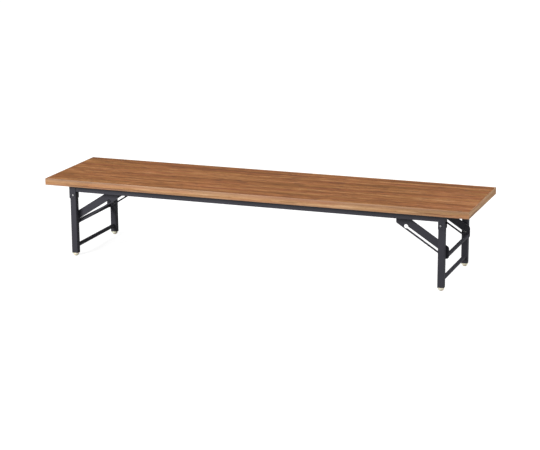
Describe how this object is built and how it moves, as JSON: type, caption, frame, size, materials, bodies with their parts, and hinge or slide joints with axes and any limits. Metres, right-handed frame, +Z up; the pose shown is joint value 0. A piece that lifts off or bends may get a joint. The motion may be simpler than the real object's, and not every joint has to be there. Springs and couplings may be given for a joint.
{
  "type": "folding low table",
  "caption": "Long low table with a wood-grain laminate top on a steel under-frame, whose tube leg frames fold flat beneath it and are locked open by slotted stays.",
  "frame": {"origin": "centre of the table's footprint, on the floor under its feet", "axes": "+X along the length of the top to the right as the picture shows it, +Y across it to the rear, +Z up; legs unfolded and locked"},
  "size_m": [1.8, 0.45, 0.33],
  "materials": {
    "wood_laminate": "satin wood-grain laminate, brown teak",
    "wood_edge": "satin wood-grain edge band, lighter than the top",
    "particle_board": "raw board",
    "backing_paper": "matt backing sheet",
    "painted_steel": "semi-gloss blue-black enamel",
    "bright_steel": "bright rivet steel",
    "zinc_steel": "zinc-plated steel",
    "nylon": "natural nylon",
    "cream_plastic": "cream moulded plastic"
  },
  "bodies": {
    "table_top": {"top_laminate": "wood_laminate", "edge_band_front": "wood_edge", "edge_band_rear": "wood_edge", "edge_band_left": "wood_edge", "edge_band_right": "wood_edge", "core_board": "particle_board", "backing_sheet": "backing_paper", "frame_screws": "zinc_steel", "rail_front": "painted_steel", "rail_rear": "painted_steel", "cross_member_left": "painted_steel", "cross_member_middle": "painted_steel", "cross_member_right": "painted_steel", "leg_pivot_rivets": "bright_steel", "stay_pivot_rivets": "painted_steel", "stay_pivot_spacers": "nylon", "hinge_bracket_front_left": "painted_steel", "hinge_bracket_rear_left": "painted_steel", "hinge_bracket_front_right": "painted_steel", "hinge_bracket_rear_right": "painted_steel"},
    "leg_frame_left": {"leg_post_front_left": "painted_steel", "foot_front_left": "cream_plastic", "leg_post_rear_left": "painted_steel", "foot_rear_left": "cream_plastic", "leg_crossbar_left": "painted_steel", "leg_pivot_sleeves_left": "zinc_steel"},
    "stay_pair_left": {"stay_front_left": "painted_steel", "stay_rear_left": "painted_steel", "release_bar_left": "painted_steel"},
    "pin_pair_left": {"slot_pins_left": "painted_steel", "slot_pin_spacers_left": "nylon"},
    "leg_frame_right": {"leg_post_front_right": "painted_steel", "foot_front_right": "cream_plastic", "leg_post_rear_right": "painted_steel", "foot_rear_right": "cream_plastic", "leg_crossbar_right": "painted_steel", "leg_pivot_sleeves_right": "zinc_steel"},
    "stay_pair_right": {"stay_front_right": "painted_steel", "stay_rear_right": "painted_steel", "release_bar_right": "painted_steel"},
    "pin_pair_right": {"slot_pins_right": "painted_steel", "slot_pin_spacers_right": "nylon"}
  },
  "joints": [
    {"name": "leg_fold_left", "type": "hinge", "parent": "table_top", "child": "leg_frame_left", "pos_m": [-0.784, 0, 0.2615], "axis": [0, -1, 0], "range_deg": [0, 90]},
    {"name": "stay_swing_left", "type": "hinge", "parent": "table_top", "child": "stay_pair_left", "pos_m": [-0.614, 0, 0.284], "axis": [0, -1, 0], "range_deg": [-32.35, 0]},
    {"name": "pin_travel_left", "type": "slide", "parent": "stay_pair_left", "child": "pin_pair_left", "axis": [0.8407, 0, 0.5415], "range_m": [0, 0.16837]},
    {"name": "leg_fold_right", "type": "hinge", "parent": "table_top", "child": "leg_frame_right", "pos_m": [0.784, 0, 0.2615], "axis": [0, 1, 0], "range_deg": [0, 90]},
    {"name": "stay_swing_right", "type": "hinge", "parent": "table_top", "child": "stay_pair_right", "pos_m": [0.614, 0, 0.284], "axis": [0, 1, 0], "range_deg": [-32.35, 0]},
    {"name": "pin_travel_right", "type": "slide", "parent": "stay_pair_right", "child": "pin_pair_right", "axis": [-0.8407, 0, 0.5415], "range_m": [0, 0.16837]}
  ],
  "couplings": [
    {"joint": "stay_swing_left", "follows": "leg_fold_left", "ratio": -0.35946},
    {"joint": "pin_travel_left", "follows": "leg_fold_left", "m_per_rad": 0.10719},
    {"joint": "stay_swing_right", "follows": "leg_fold_right", "ratio": -0.35946},
    {"joint": "pin_travel_right", "follows": "leg_fold_right", "m_per_rad": 0.10719}
  ]
}
